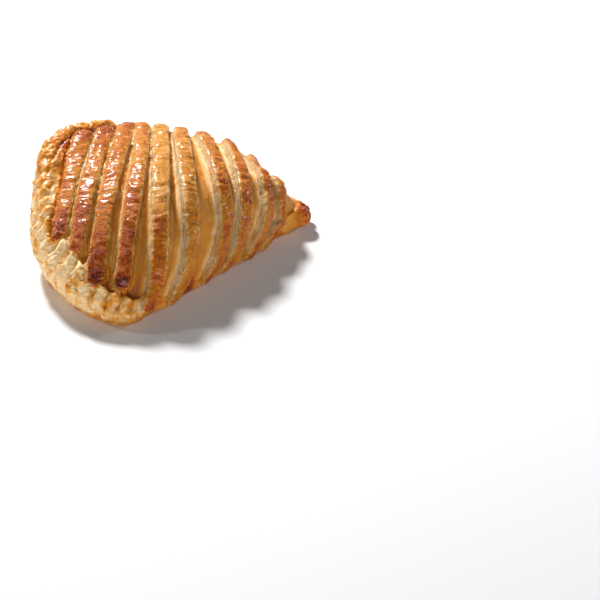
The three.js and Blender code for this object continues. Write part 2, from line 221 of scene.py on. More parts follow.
def skin_point(share, angle):
    """Mean surface of the skin: share is 0 at the crown and 1 at the rim"""
    rim = rim_radius(angle)
    distance = share * rim
    oval = 1 / np.hypot(np.cos(angle) / OVAL_LENGTH, np.sin(angle) / OVAL_WIDTH)
    outwards = np.minimum(1, distance / mix(oval, rim, smooth(0, 1, share)))
    fold = fold_share(angle, share)
    edge = mix(CROWN_LEVEL, rim_height(angle), smooth(0, 1, share))
    fullness = mix(FULLNESS_SEAL, FULLNESS_TIP, bump(angle, TIP_ROUND))
    bulge = (1 - outwards ** mix(POWER_SEAL, POWER_FOLD, fold)) ** mix(fullness, FULLNESS_FOLD, fold)
    return polar(distance, angle, mix(edge, CROWN_HEIGHT, bulge))


def side_point(share, angle):
    """Side below the rim: share is 0 at the rim and 1 at the base"""
    rim = rim_radius(angle)
    swell_share = mix(SWELL_SHARE, ROLL_SWELL_SHARE, roll_share(angle))
    swell = np.sin(np.minimum(1, share / swell_share) * math.pi / 2) ** SWELL_POWER
    wall_tuck = WALL_TUCK * smooth(WALL_TUCK_START, 1, share)
    fold_tuck = FOLD_TUCK * (1 - np.sqrt(1 - share ** 2))
    tuck = mix(wall_tuck, fold_tuck, fold_share(angle))
    distance = rim + (reach(angle) - rim) * swell - tuck
    return polar(distance, angle, rim_height(angle) * (1 - share))


def sheet_point(x, y):
    """The skin as a flat sheet laid round the crown, turned down at the fold and the rim"""
    fold_angle = (FOLD_TURN - 90) * DEGREE
    fold_x, fold_y = math.cos(fold_angle), math.sin(fold_angle)
    out = x * fold_x + y * fold_y
    start, end = BEND_START * FOLD_DISTANCE, BEND_END * FOLD_DISTANCE
    bent = np.clip(out, start, end) - start
    past = np.maximum(0, out - end)
    back = bent ** 2 / (2 * (end - start)) + past
    flat_x, flat_y = x - fold_x * back, y - fold_y * back
    angle = np.arctan2(flat_y, flat_x)
    distance = np.hypot(flat_x, flat_y)
    rim = rim_radius(angle)
    down = (distance - rim + past) / (SIDE_STRETCH * rim_height(angle))
    on_skin = skin_point(np.minimum(1, distance / rim), angle)
    on_side = side_point(np.clip(down, 0, 1), angle)
    return np.where((distance <= rim)[..., None], on_skin, on_side)


def unit(vectors):
    return vectors / np.maximum(1e-9, np.linalg.norm(vectors, axis=-1, keepdims=True))


def sheet_normal(x, y):
    along_x = sheet_point(x + NORMAL_STEP, y) - sheet_point(x - NORMAL_STEP, y)
    along_y = sheet_point(x, y + NORMAL_STEP) - sheet_point(x, y - NORMAL_STEP)
    return unit(np.cross(along_x, along_y))


def on_sheet(across, along):
    """The place on the sheet at these distances across and along the bands"""
    c, s = math.cos(BAND_TURN), math.sin(BAND_TURN)
    return across * c - along * s, across * s + along * c


def length_to_end(across, direction, is_past_end):
    """How far a band runs from the middle line in one direction until it is past its end"""
    along = np.arange(0, LONGEST_BAND, END_STEP)
    points = sheet_point(*on_sheet(across, direction * along))
    past = is_past_end(points, np.arctan2(points[:, 1], points[:, 0]))
    return along[np.argmax(past)] if past.any() else along[-1]


def is_past_back(points, angle):
    """Where a band has reached the roll, or hangs over the rim beside it"""
    at_roll = roll_share(angle) > 0.5
    past_roll = np.hypot(points[:, 0], points[:, 1]) > rim_radius(angle) - BAND_STOP
    return np.where(at_roll, past_roll, points[:, 2] < rim_height(angle) - BAND_OVERHANG)


def is_past_front(points, angle):
    """Where a band has reached the border, or the foot of the folded side"""
    return points[:, 2] < mix(rim_height(angle) - 1, BAND_FOOT, fold_share(angle))


def relax(points):
    """The same curve with its kinks drawn out"""
    inner = (points[:-2] + points[2:] + 2 * points[1:-1]) / 4
    return np.concatenate([points[:1], inner, points[-1:]])


def refine(points, fineness):
    """A smooth curve through the points, with that many steps between two of them"""
    padded = np.concatenate([2 * points[:1] - points[1:2], points, 2 * points[-1:] - points[-2:-1]])
    pieces = []
    for i in range(len(points) - 1):
        p0, p1, p2, p3 = padded[i:i + 4]
        for step in range(fineness):
            t = step / fineness
            pieces.append(0.5 * (2 * p1 + (p2 - p0) * t + (2 * p0 - 5 * p1 + 4 * p2 - p3) * t ** 2
                                 + (3 * p1 - p0 - 3 * p2 + p3) * t ** 3))
    pieces.append(points[-1])
    return np.array(pieces)


def band_line(band, seed):
    """Centres, sides, normals, lengths and half widths along the middle of a band"""
    back, middle, front, width, short = band
    start = length_to_end(back, 1, is_past_back)
    end = length_to_end(front, -1, is_past_front) - short
    share = np.linspace(0, 1, BAND_STEPS + 1)
    across = (back * (1 - share) * (1 - 2 * share) + middle * 4 * share * (1 - share)
              + front * share * (2 * share - 1))
    x, y = on_sheet(across, mix(start, -end, share))
    centres, normals = sheet_point(x, y), sheet_normal(x, y)
    for _ in range(BAND_RELAXING):
        centres, normals = relax(centres), relax(normals)
    centres, normals = refine(centres, BAND_FINENESS), refine(normals, BAND_FINENESS)
    forward = unit(np.gradient(centres, axis=0))
    side = unit(np.cross(forward, normals))
    steps = np.linalg.norm(np.diff(centres, axis=0), axis=1)
    length = np.concatenate([[0], np.cumsum(steps)])
    from_end = np.minimum(length, length[-1] - length)
    rounded = np.sqrt(1 - (1 - np.minimum(1, from_end / BAND_END_LENGTH)) ** 2)
    row = np.stack([length, 0 * length + seed, 0 * length], 1)
    sway = sum(amount * lattice_noise(row, size, seed + i) for i, (amount, size) in enumerate(SWAYS))
    return {
        "centre": centres,
        "side": side,
        "normal": np.cross(side, forward),
        "length": length,
        "rounded": rounded,
        "half_width": width / 2,
        "half": width / 2 * mix(BAND_END_WIDTH, 1, rounded) * (1 + sway),
        "lift": LIFT * lattice_noise(row, LIFT_SIZE, seed + len(SWAYS)),
    }


# Seeded noise

TABLE_SIZE = 4096


def hashed(cell):
    """A place in the table of random values for each cell"""
    return (cell[:, 0] * 73856093 ^ cell[:, 1] * 19349663 ^ cell[:, 2] * 83492791) % TABLE_SIZE


def pillow_noise(points, size, seed):
    """Rounded cells with creases between them: 1 in the middle of a cell and 0 in a crease"""
    rng = np.random.default_rng(RANDOM_SEED + seed)
    table = rng.uniform(0, 1, (TABLE_SIZE, 3))
    p = points / size + 100
    cell = np.floor(p).astype(np.int64)
    first, second = np.full(len(p), 9.0), np.full(len(p), 9.0)
    for dx in (-1, 0, 1):
        for dy in (-1, 0, 1):
            for dz in (-1, 0, 1):
                near = cell + (dx, dy, dz)
                gap = np.linalg.norm(near + table[hashed(near)] - p, axis=1)
                second = np.minimum(second, np.maximum(first, gap))
                first = np.minimum(first, gap)
    return np.sqrt(np.clip((second - first) / 0.7, 0, 1))


def lattice_noise(points, size, seed):
    """Smooth noise from -1 to 1 that changes over about that size"""
    rng = np.random.default_rng(RANDOM_SEED + seed)
    table = rng.uniform(-1, 1, TABLE_SIZE)
    p = points / size + 100
    cell = np.floor(p).astype(np.int64)
    f = p - cell
    f = f * f * (3 - 2 * f)
    total = 0
    for dx in (0, 1):
        for dy in (0, 1):
            for dz in (0, 1):
                corner = hashed(cell + (dx, dy, dz))
                weight = (np.where(dx, f[:, 0], 1 - f[:, 0]) * np.where(dy, f[:, 1], 1 - f[:, 1])
                          * np.where(dz, f[:, 2], 1 - f[:, 2]))
                total = total + weight * table[corner]
    return total


def layered_noise(points, size, seed, layers=3):
    """Noise with finer layers added, each half as large and half as strong"""
    total, strength = 0, 1.0
    for layer in range(layers):
        total = total + strength * lattice_noise(points, size / 2 ** layer, seed + 31 * layer)
        strength *= 0.5
    return total / 1.6


# Meshes

def make_object(name, points_mm, faces):
    mesh = bpy.data.meshes.new(name)
    mesh.from_pydata((np.asarray(points_mm) + CROWN_PLACE) * MM, [], faces)
    mesh.update()
    piece = bpy.data.objects.new(name, mesh)
    bpy.context.scene.collection.objects.link(piece)
    return piece


def loft(rings):
    """Points and faces of a closed solid through rings, with its faces pointing out"""
    rings = np.asarray(rings)
    count, size, _ = rings.shape
    points = np.concatenate([rings.reshape(-1, 3), rings[:1].mean(1), rings[-1:].mean(1)])
    i = np.arange(size)
    after = (i + 1) % size
    faces = []
    for ring in range(count - 1):
        base = ring * size
        faces += np.stack([base + i, base + after, base + size + after, base + size + i], 1).tolist()
    last = (count - 1) * size
    faces += np.stack([np.full(size, count * size), after, i], 1).tolist()
    faces += np.stack([np.full(size, count * size + 1), last + i, last + after], 1).tolist()
    a, b, c = rings[0, 0], rings[0, 1], rings[1, 1]
    inside = rings.reshape(-1, 3).mean(0)
    if np.dot(np.cross(b - a, c - b), a - inside) < 0:
        faces = [face[::-1] for face in faces]
    return points, faces


def turns(count):
    """Angles of points spread evenly once round"""
    return np.linspace(0, 2 * math.pi, count, endpoint=False)


def drawn(point, scale, height):
    """A ring of points drawn in or out by the scale and put at these heights"""
    return np.stack([point[:, 0] * scale, point[:, 1] * scale, height], 1)


def cushion():
    """The puffed body under the bands: its surface is the floor of the grooves"""
    angle = turns(BODY_POINTS)
    folded = fold_share(angle)
    rings = []
    for share in np.linspace(0.02, 1, BODY_RINGS):
        point = skin_point(np.full_like(angle, share), angle)
        scale = 1 - GROOVE_DROP * folded * smooth(0.8, 1, share) / rim_radius(angle)
        rings.append(drawn(point, scale, point[:, 2] - GROOVE_DROP))
    for share in np.linspace(0.1, 1, BODY_SIDE_RINGS):
        point = side_point(np.full_like(angle, share), angle)
        scale = 1 - mix(BODY_INSET, GROOVE_DROP * (1 - share ** 4), folded) / reach(angle)
        rings.append(drawn(point, scale, point[:, 2] * BODY_SIDE_DROP))
    return loft(rings)


def flutes(angle):
    """Rounded lobes with creases between them: their pitch wanders a little"""
    fine = np.linspace(0, 2 * math.pi, OUTLINE_POINTS)
    plan = polar(reach(fine), fine, 0 * fine)
    lengths = np.concatenate([[0], np.cumsum(np.linalg.norm(np.diff(plan, axis=0), axis=1))])
    length = np.interp(angle % (2 * math.pi), fine, lengths)
    wander = sum(size * np.sin(waves * angle + start) for size, waves, start in FLUTE_WANDER)
    return np.abs(np.sin((length + wander) / FLUTE_PITCH * math.pi)) ** FLUTE_POWER - FLUTE_MEAN


def wall():
    """The wall of cut layers round the sealed edge, pressed into upright flutes"""
    angle = turns(WALL_POINTS)
    sealed = 1 - fold_share(angle)
    border = BORDER_RISE - LOW_BORDER[2] * bump(angle, LOW_BORDER)
    rings = []
    for share in np.linspace(0, 1, WALL_RINGS) ** WALL_RING_POWER:
        point = side_point(np.full_like(angle, share), angle)
        flute = flutes(angle + FLUTE_LEAN * math.sin(3 * share))
        depth = FLUTE_DEPTH * (0.45 + 0.55 * math.sin(math.pi * min(1, share + 0.15)))
        out = sealed * depth * flute - (1 - sealed) * WALL_INSET_AT_FOLD
        rise = sealed * (border + FLUTE_RISE * flute) * (1 - smooth(0, BORDER_SHARE, share))
        roll = math.sin(math.pi * min(1, share / ROLL_SWELL_SHARE))
        rise = rise + ROLL_HEIGHT * roll_share(angle) * roll
        rings.append(drawn(point, 1 + out / reach(angle), point[:, 2] + rise))
    return loft(rings)


def band_strip(line):
    """A strip of skin with rounded shoulders and ends, whose root is sunk in the body"""
    knuckle = 1 - smooth(0, KNUCKLE_LENGTH, line["length"])
    top = (BAND_RISE + KNUCKLE_RISE * knuckle + line["lift"]) * line["rounded"]
    sweep = np.linspace(0, math.pi, BAND_ARCH_POINTS)
    low_side, high_side = BAND_SIDES
    across = np.concatenate([[-low_side, -high_side], -np.cos(sweep), [high_side, low_side]])
    arch = np.sin(sweep) ** BAND_ARCH_POWER
    flank = -BAND_FLANK_SHARE * GROOVE_DROP
    root = -GROOVE_DROP - BAND_ROOT
    rings = []
    for i in range(len(top)):
        up = np.concatenate([[root, -GROOVE_DROP], mix(flank, top[i], arch), [-GROOVE_DROP, root]])
        rings.append(line["centre"][i] + np.outer(across * line["half"][i], line["side"][i])
                     + np.outer(up, line["normal"][i]))
    return loft(rings)


def nub():
    """The small egg of dough that closes the pointed tip"""
    turn = NUB_DIRECTION * DEGREE
    middle = polar(NUB_DISTANCE, NUB_ANGLE * DEGREE, NUB_HEIGHT / 2)
    forward = polar(1.0, turn, 0.0)
    side = polar(1.0, turn + math.pi / 2, 0.0)
    around = turns(NUB_POINTS)
    rings = []
    for t in np.linspace(0.02, math.pi - 0.02, NUB_RINGS):
        radius = 0.5 * math.sin(t)
        across = np.outer(radius * NUB_WIDTH * np.cos(around), side)
        up = np.outer(radius * NUB_HEIGHT * np.sin(around), (0, 0, 1))
        rings.append(middle - 0.5 * NUB_LENGTH * math.cos(t) * forward + across + up)
    return loft(rings)


def join_solids(solids):
    points, faces, start = [], [], 0
    for solid_points, solid_faces in solids:
        points.append(solid_points)
        faces += [[start + i for i in face] for face in solid_faces]
        start += len(solid_points)
    return np.concatenate(points), faces


def vertices_of(mesh):
    points = np.empty(len(mesh.vertices) * 3, dtype=np.float32)
    mesh.vertices.foreach_get("co", points)
    return points.reshape(-1, 3).astype(float) / MM - CROWN_PLACE


def set_vertices(mesh, points_mm):
    mesh.vertices.foreach_set("co", ((points_mm + CROWN_PLACE) * MM).astype(np.float32).ravel())
    mesh.update()


def normals_of(mesh):
    normals = np.empty(len(mesh.vertices) * 3, dtype=np.float32)
    mesh.vertex_normals.foreach_get("vector", normals)
    return normals.reshape(-1, 3).astype(float)


def soften(mesh):
    """Moves each vertex towards the mean of its neighbours"""
    points = vertices_of(mesh)
    edges = np.empty(len(mesh.edges) * 2, dtype=np.int32)
    mesh.edges.foreach_get("vertices", edges)
    a, b = edges.reshape(-1, 2).T
    count = np.bincount(a, minlength=len(points)) + np.bincount(b, minlength=len(points))
    total = np.zeros_like(points)
    for axis in range(3):
        total[:, axis] = (np.bincount(a, points[b, axis], len(points))
                          + np.bincount(b, points[a, axis], len(points)))
    set_vertices(mesh, mix(points, total / count[:, None], SOFTENING))


def band_coordinates(points, lines):
    """For each point: the nearest band, and its place across, above and along it"""
    best = np.full(len(points), 1e9)
    keys = ("band", "edge", "across", "up", "along", "total", "beyond")
    result = {key: np.zeros(len(points)) for key in keys}
    for number, line in enumerate(lines):
        forward = unit(np.gradient(line["centre"], axis=0))
        for start in range(0, len(points), POINTS_AT_ONCE):
            part = slice(start, start + POINTS_AT_ONCE)
            block = points[part]
            gaps = ((block[:, None, :] - line["centre"][None]) ** 2).sum(2)
            nearest = gaps.argmin(1)
            offset = block - line["centre"][nearest]
            across = (offset * line["side"][nearest]).sum(1)
            score = np.sqrt(gaps.min(1)) - line["half_width"]
            closer = score < best[part]
            values = {
                "band": number,
                "edge": np.abs(across) - line["half"][nearest],
                "across": across / line["half_width"],
                "up": (offset * line["normal"][nearest]).sum(1),
                "along": line["length"][nearest],
                "total": line["length"][-1],
                "beyond": np.abs((offset * forward[nearest]).sum(1)),
            }
            for key, value in values.items():
                result[key][part] = np.where(closer, value, result[key][part])
            best[part] = np.where(closer, score, best[part])
    return result


def apply_modifiers(piece):
    """Puts what the piece's modifiers give in place of its mesh"""
    bpy.context.view_layer.update()
    evaluated = piece.evaluated_get(bpy.context.evaluated_depsgraph_get())
    mesh = bpy.data.meshes.new_from_object(evaluated)
    piece.modifiers.clear()
    piece.data = mesh
    return mesh


def remeshed(piece):
    """The fused solids as one even skin, smoothed a little, with few faces on the flat underside"""
    remesh = piece.modifiers.new("remesh", "REMESH")
    remesh.mode = "VOXEL"
    remesh.voxel_size = VOXEL * MM
    remesh.use_smooth_shade = True
    mesh = apply_modifiers(piece)
    soften(mesh)
    low = np.flatnonzero(vertices_of(mesh)[:, 2] < UNDERSIDE_LEVEL)
    underside = piece.vertex_groups.new(name="underside")
    underside.add(low.tolist(), 1.0, "REPLACE")
    thin = piece.modifiers.new("thin", "DECIMATE")
    thin.ratio = KEPT_FACES
    thin.vertex_group = underside.name
    return apply_modifiers(piece)


# How brown the bands are from their back end to their front end: 0 is raw dough and 1 is burnt
BAND_BROWNING = [
    (0.66, 0.60, 0.56, 0.60, 0.74),
    (0.70, 0.58, 0.53, 0.65, 0.68),
    (0.64, 0.55, 0.53, 0.62, 0.82),
    (0.52, 0.50, 0.54, 0.68, 0.74),
    (0.46, 0.34, 0.36, 0.50, 0.68),
    (0.45, 0.42, 0.40, 0.42, 0.50),
    (0.62, 0.56, 0.53, 0.56, 0.60),
    (0.64, 0.60, 0.58, 0.58, 0.60),
    (0.68, 0.57, 0.63, 0.60, 0.60),
    (0.68, 0.62, 0.60, 0.60, 0.60),
]

# Patches: (band, share of its length, reach in mm along it, added browning of its top and
# of the groove beside it)
BROWN_PATCHES = [
    (3, 0.97, 2.5, 0.25, 0.0),
    (3, 1.00, 9.0, 0.00, 0.34),
    (2, 0.97, 5.0, 0.12, 0.36),
    (4, 0.72, 5.0, 0.12, 0.0),
    (4, 0.92, 10.0, 0.00, 0.30),
    (0, 0.04, 16.0, 0.00, 0.36),
    (1, 0.06, 16.0, 0.00, 0.36),
    (2, 0.04, 12.0, 0.00, 0.30),
    (5, 0.02, 6.0, 0.05, 0.20),
    (6, 0.02, 8.0, 0.05, 0.30),
    (7, 0.02, 8.0, 0.05, 0.30),
    (8, 0.02, 8.0, 0.05, 0.30),
    (9, 0.02, 8.0, 0.05, 0.30),
]

# Where each kind of surface fades in or out: in mm beyond the band's edge, above the skin,
# past the band's end, outside the rim, below the rim and above the base
TOP_EDGE, TOP_UP = (-0.9, 0.3), (-1.0, 0.4)
FLANK_EDGE, FLANK_END, FLANK_UP = (-0.8, -0.1), (0.5, 1.5), (-3.8, -2.4)
BEYOND_END = (0.4, 2.0)
BORDER_EDGE, BORDER_DEPTH = (0.1, 1.0), (-7, -2)
WALL_EDGE = (-1.6, -0.3)
CREASE_DEPTH = (-4, -1.5)
RIM_CREASE_PLACE, RIM_CREASE_WIDTH = -0.4, 0.7
BAND_CREASE_PLACE, BAND_CREASE_WIDTH = 0.3, 0.8
NUB_FROM, NUB_SPREAD, NUB_END = (61, 64), 12, (0, 5)
SIDE_FADE = (0.8, 4.0)
FOOT_HEIGHT = 18
BAND_SPACE_WIDTH, BAND_SPACE_STEP = 4, 37.0


def crust_masks(points, lines):
    """What each point of the crust is: shares of band top, layered flank, wall, crease and so on"""
    at = band_coordinates(points, lines)
    angle = np.arctan2(points[:, 1], points[:, 0])
    distance = np.hypot(points[:, 0], points[:, 1])
    height = points[:, 2]
    rim, rim_z = rim_radius(angle), rim_height(angle)
    sealed = 1 - fold_share(angle)
    edge, below_rim = at["edge"], height - rim_z
    beside = 1 - smooth(*BEYOND_END, at["beyond"])
    top = (1 - smooth(*TOP_EDGE, edge)) * smooth(*TOP_UP, at["up"]) * beside
    flank = smooth(*FLANK_EDGE, edge) * (1 - smooth(*FLANK_END, edge)) * beside
    flank = flank * smooth(*FLANK_UP, at["up"])
    outside_first = sealed * (at["band"] == 0) * (at["across"] > 0)
    at_rim = smooth(*BORDER_DEPTH, below_rim)
    border = outside_first * smooth(*BORDER_EDGE, edge) * at_rim
    outside_rim = sealed * smooth(*WALL_EDGE, distance - rim)
    wall_share = np.maximum(border, outside_rim * (1 - flank)) * (1 - top)
    from_rim_crease = (distance - rim - RIM_CREASE_PLACE) / RIM_CREASE_WIDTH
    rim_crease = roll_share(angle) * np.exp(-from_rim_crease ** 2) * (1 - 0.7 * top)
    from_band_crease = (edge - BAND_CREASE_PLACE) / BAND_CREASE_WIDTH
    band_crease = outside_first * np.exp(-from_band_crease ** 2) * beside
    along_nub = ((points - polar(NUB_DISTANCE, NUB_ANGLE * DEGREE, 0.0))
                 @ polar(1.0, NUB_DIRECTION * DEGREE, 0.0))
    on_nub = smooth(*NUB_FROM, distance) * bump(angle, (NUB_ANGLE, NUB_SPREAD))
    return {
        **at,
        "angle": angle,
        "height": height,
        # left_side is +1 on one side of each band and -1 on the other, fading out 0.8 to 4 mm beyond
        # its edge; it places painted light and painted shade
        "left_side": np.sign(at["across"]) * (1 - smooth(*SIDE_FADE, edge)),
        "top": top,
        "flank": flank * (1 - border),
        "wall": wall_share,
        "border": np.maximum(border, roll_share(angle) * at_rim),
        "crease": np.maximum(rim_crease, band_crease) * smooth(*CREASE_DEPTH, below_rim),
        "nub": on_nub,
        "nub_end": on_nub * smooth(*NUB_END, along_nub),
        "groove": (1 - top) * (1 - flank) * (1 - wall_share),
        "foot": (1 - sealed) * (1 - smooth(0, FOOT_HEIGHT, height)),
        "band_space": np.stack([at["across"] * BAND_SPACE_WIDTH, at["along"],
                                at["band"] * BAND_SPACE_STEP], 1),
    }


# Relief: the height in mm of each kind, and the size in mm over which it changes
SWELL, SWELL_SIZE = 0.4, 15
RUMPLE, RUMPLE_SIZE = 0.6, 4.5
WRINKLE, WRINKLE_SIZE = 0.45, 2.2
FINE_WRINKLE, FINE_WRINKLE_SIZE = 0.3, 1.3
PILLOW, PILLOW_SIZE, PILLOW_MEAN = 1.2, 5.2, 0.6
FLAKE, FLAKE_SIZE = 0.35, 3.2
BORDER_LIFT = 0.9
HOLLOW, HOLLOW_EDGE, HOLLOW_AT_FOOT = 1.1, (0.4, 3.2), 1.3
GROOVE_WAVE, GROOVE_WAVE_SIZE = 0.16, 4.0
LAYER_WAVE, LAYER_WAVE_SIZE = 0.35, 1.6
CREASE = 1.0
SWIRL, SWIRL_SIZE = 1.2, 4
STILL_HEIGHT = 1.5


def relief(points, at):
    """How far each point moves out of the crust, in mm"""
    band_space = at["band_space"]
    swirl = SWIRL * lattice_noise(points, SWIRL_SIZE, 9)[:, None]
    wrinkle = 1 - np.abs(lattice_noise(band_space * [0.4, 1, 1] + swirl, WRINKLE_SIZE, 3)) * 2
    fine_wrinkle = np.abs(lattice_noise(band_space * [0.6, 1, 1] + swirl, FINE_WRINKLE_SIZE, 4))
    rumple = RUMPLE * layered_noise(points, RUMPLE_SIZE, 5, 2)
    pillows = pillow_noise(points * [1, 1, 0.55] + 1.5 * swirl, PILLOW_SIZE, 8) - PILLOW_MEAN
    flakes = pillow_noise(points + swirl, FLAKE_SIZE, 13) - PILLOW_MEAN
    groove = GROOVE_WAVE * layered_noise(points, GROOVE_WAVE_SIZE, 6, 2)
    groove = groove - HOLLOW * smooth(*HOLLOW_EDGE, at["edge"]) * (1 + HOLLOW_AT_FOOT * at["foot"])
    move = SWELL * layered_noise(points, SWELL_SIZE, 1, 2)
    move = move + at["top"] * (rumple + WRINKLE * wrinkle - FINE_WRINKLE * fine_wrinkle)
    move = move + at["wall"] * (PILLOW * pillows + FLAKE * flakes + rumple)
    move = move + at["wall"] * at["border"] * BORDER_LIFT
    move = move + at["groove"] * groove
    move = move + at["flank"] * LAYER_WAVE * lattice_noise(band_space, LAYER_WAVE_SIZE, 12)
    move = move - CREASE * at["crease"]
    return move * smooth(0, STILL_HEIGHT, at["height"])


# Borders along the first band: browning at shares of the band's length
BORDER_BROWNING = [(0, 0.48), (0.35, 0.44), (0.75, 0.18)]

# Browner parts of the wall: (angle, spread, added browning)
BACK_BROWNING = (75, 60, 0.22)
CORNER_BROWNING = (218, 20, 0.24)
# Dark brown of the nub's end, which also serves as painted shade in the creases
DARK_BROWN_AND_CREASE_SHADE = 0.84
NUB_BASE_BROWN = 0.40

# The foot of the blunt corner is dull, and from this band on the grooves are lighter and carry less
# painted shade
DULL_CORNER = (218, 24)
LIGHT_GROOVES_FROM = 5


def band_tops(at, share, patchy, broad):
    """Browning of the band tops, paler towards their edges"""
    tops = np.zeros(len(share))
    for number, levels in enumerate(BAND_BROWNING):
        on_band = at["band"] == number
        tops[on_band] = np.interp(share[on_band], np.linspace(0, 1, len(levels)), levels)
    return tops + 0.06 + 0.07 * broad + 0.14 * patchy - 0.30 * smooth(-1.2, -0.1, at["edge"])


def browning_and_painted_light(points, at):
    """How brown each point is, 0 being raw dough and 1 burnt, with painted light and shade worked in:
    paler and darker band sides, and painted shade in grooves and creases
    """
    share = at["along"] / at["total"]
    broad = layered_noise(points, 12, 20, 3)
    patchy = layered_noise(points, 4.5, 21, 3)
    foot = at["foot"]
    # Painted light and shade: the sides that face the light from the left are paler, the other sides
    # darker, fading out at the foot
    painted_light_left = at["left_side"] * (1 - foot)

    tops = band_tops(at, share, patchy, broad)
    patches = np.zeros(len(points))
    for number, place, reach_mm, on_top, in_groove in BROWN_PATCHES:
        near = np.exp(-((share - place) * at["total"] / reach_mm) ** 2) * (at["band"] == number)
        tops = tops + on_top * near
        patches = patches + in_groove * near

    # Grooves darken towards their middle: partly the dough's own colour, partly painted shade in the
    # valley
    grooves = 0.30 + 0.16 * smooth(0.3, 3.0, at["edge"]) + patches + 0.06 * broad + 0.06 * patchy
    grooves = grooves + (0.20 + 0.22 * smooth(1.5, 3.5, at["edge"])) * foot
    grooves = grooves - 0.17 * painted_light_left - 0.06 * (at["band"] >= LIGHT_GROOVES_FROM)
    flanks = 0.22 - 0.12 * painted_light_left + 0.20 * foot + 0.5 * patches + 0.08 * patchy

    # Painted shade in the creases between the flutes
    flute_crease_shade = 1 - smooth(0.2, 0.7, flutes(at["angle"]) + FLUTE_MEAN)
    walls = -0.02 + 0.20 * flute_crease_shade + 0.8 * np.maximum(0, patchy - 0.12) + 0.08 * broad
    for patch in (BACK_BROWNING, CORNER_BROWNING):
        walls = walls + patch[2] * bump(at["angle"], patch)
    walls = walls + 0.20 * (1 - smooth(0.5, 3.5, at["height"]))
    borders = np.interp(share, *zip(*BORDER_BROWNING)) + 0.25 * patchy
    walls = mix(walls, borders, at["border"])

    level = at["groove"] * grooves + at["wall"] * walls
    level = mix(level, flanks, at["flank"])
    level = mix(level, tops, at["top"])
    # Painted shade in the creases along the roll and beside the first band
    level = mix(level, DARK_BROWN_AND_CREASE_SHADE, 0.7 * at["crease"])
    level = mix(level, mix(NUB_BASE_BROWN, DARK_BROWN_AND_CREASE_SHADE, at["nub_end"]), at["nub"])
    return np.clip(level, 0, 1)


def yellowing(at):
    """Where the glaze stays egg yellow: the upper half of the fifth band, and the nub's base"""
    share = at["along"] / at["total"]
    upper_half = smooth(0.06, 0.16, share) * (1 - smooth(0.42, 0.55, share))
    fifth = (at["band"] == 4) * upper_half * at["top"]
    return np.maximum(0.5 * fifth, 0.6 * at["nub"] * (1 - at["nub_end"]))


def groove_shade_and_dulling(at):
    """Painted shade on the floors of the grooves, weaker on their sides that face the light from the
    left, and a dull tone at the foot of the blunt corner
    """
    # Painted shade on the groove floors, deepest away from the band edges and weaker on the sides
    # that face the light from the left
    share = np.where(at["band"] < LIGHT_GROOVES_FROM, 0.55, 0.30)
    groove = share * at["groove"] * smooth(0.2, 2.0, at["edge"]) * (1 - 0.5 * at["foot"])
    groove = groove * (1 - 0.7 * np.maximum(0, at["left_side"]))
    corner = 0.5 * at["wall"] * bump(at["angle"], DULL_CORNER) * (1 - smooth(2, 9, at["height"]))
    return np.maximum(groove, corner)


def glazing(at):
    """Where the egg glaze shines"""
    return np.maximum(at["top"], np.maximum(0.7 * at["border"], 0.6 * at["nub"]))


def store(mesh, name, values):
    """Keeps one value for each point, for the material to read"""
    attribute = mesh.attributes.new(name, "FLOAT", "POINT")
    attribute.data.foreach_set("value", np.asarray(values, dtype=np.float32))


def store_vectors(mesh, name, vectors):
    """Keeps one vector for each point, for the material to read"""
    attribute = mesh.attributes.new(name, "FLOAT_VECTOR", "POINT")
    attribute.data.foreach_set("vector", np.asarray(vectors, dtype=np.float32).ravel())


def build_pastry():
    """The whole crust as one mesh, with what its material needs stored on its points"""
    lines = [band_line(band, 100 + i) for i, band in enumerate(BANDS)]
    solids = [cushion(), wall(), nub()] + [band_strip(line) for line in lines]
    pastry = make_object("turnover_crust", *join_solids(solids))
    mesh = remeshed(pastry)
    points = vertices_of(mesh)
    at = crust_masks(points, lines)
    points = points + normals_of(mesh) * relief(points, at)[:, None]
    points[:, 2] = np.where(points[:, 2] < BASE_LEVEL, 0, points[:, 2])
    set_vertices(mesh, points)
    for name in ("top", "flank", "wall", "up"):
        store(mesh, name, at[name])
    store(mesh, "glaze", glazing(at))
    # Browning, with painted light and shade worked in
    store(mesh, "brown_and_painted_light", browning_and_painted_light(points, at))
    store(mesh, "yellow", yellowing(at))
    # Painted shade of the groove floors and the dull tone at the blunt corner's foot
    store(mesh, "groove_shade_and_dull", groove_shade_and_dulling(at))
    store(mesh, "shoulder", at["top"] * smooth(-2.3, -0.2, at["edge"]))
    store_vectors(mesh, "band_space", at["band_space"])
    return pastry


# Material

def linear(red, green, blue):
    """A colour given as screen values from 0 to 255"""
    values = [((c / 255 + 0.055) / 1.055) ** 2.4 for c in (red, green, blue)]
    return (*values, 1.0)


